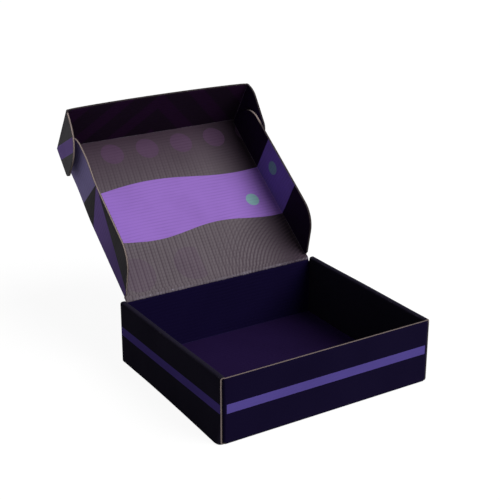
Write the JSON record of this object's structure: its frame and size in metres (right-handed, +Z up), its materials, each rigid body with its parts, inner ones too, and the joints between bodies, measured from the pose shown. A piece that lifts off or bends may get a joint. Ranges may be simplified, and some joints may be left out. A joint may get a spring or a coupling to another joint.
{
  "type": "corrugated mailer box",
  "caption": "Low rectangular mailer box folded from thin printed corrugated board, with rolled double side walls, a hinged lid, a tuck-in front flap, ears and dust flaps.",
  "frame": {"origin": "centre of the tray's underside", "axes": "+X runs right along the front wall as seen from the front, +Y from the front wall to the back wall that carries the lid, +Z up"},
  "size_m": [0.2008, 0.2979, 0.199],
  "materials": {
    "dark_board": "matt printed",
    "taupe_board": "matt printed",
    "violet_board": "matt printed",
    "black_board": "matt printed"
  },
  "bodies": {
    "tray": {"tray": "dark_board"},
    "lid": {"lid": "taupe_board"},
    "left_side_flap": {"left_side_flap": "violet_board"},
    "right_side_flap": {"right_side_flap": "black_board"},
    "front_flap": {"front_flap": "dark_board"},
    "left_ear": {"left_ear": "taupe_board"},
    "right_ear": {"right_ear": "violet_board"}
  },
  "joints": [
    {"name": "lid_hinge", "type": "hinge", "parent": "tray", "child": "lid", "pos_m": [0, 0.084, 0.0567], "axis": [1, 0, 0], "range_deg": [-56, 141.6]},
    {"name": "left_flap_hinge", "type": "hinge", "parent": "lid", "child": "left_side_flap", "pos_m": [-0.0904, 0.14651, 0.10663], "axis": [0, 0.7837, 0.6212], "range_deg": [0, 88]},
    {"name": "right_flap_hinge", "type": "hinge", "parent": "lid", "child": "right_side_flap", "pos_m": [0.0904, 0.14651, 0.10663], "axis": [0, -0.7837, -0.6212], "range_deg": [0, 88]},
    {"name": "front_flap_hinge", "type": "hinge", "parent": "lid", "child": "front_flap", "pos_m": [0, 0.21264, 0.15866], "axis": [1, 0, 0], "range_deg": [-6.5, 16]},
    {"name": "left_ear_hinge", "type": "hinge", "parent": "front_flap", "child": "left_ear", "pos_m": [-0.0934, 0.21192, 0.15821], "axis": [0, -0.5284, 0.849], "range_deg": [-4, 9.7]},
    {"name": "right_ear_hinge", "type": "hinge", "parent": "front_flap", "child": "right_ear", "pos_m": [0.0934, 0.21192, 0.15821], "axis": [0, -0.5284, 0.849], "range_deg": [-9.7, 4]}
  ],
  "couplings": [
    {"joint": "front_flap_hinge", "follows": "lid_hinge", "ratio": 0.11},
    {"joint": "left_ear_hinge", "follows": "lid_hinge", "ratio": 0.0665},
    {"joint": "right_ear_hinge", "follows": "lid_hinge", "ratio": -0.0665}
  ]
}
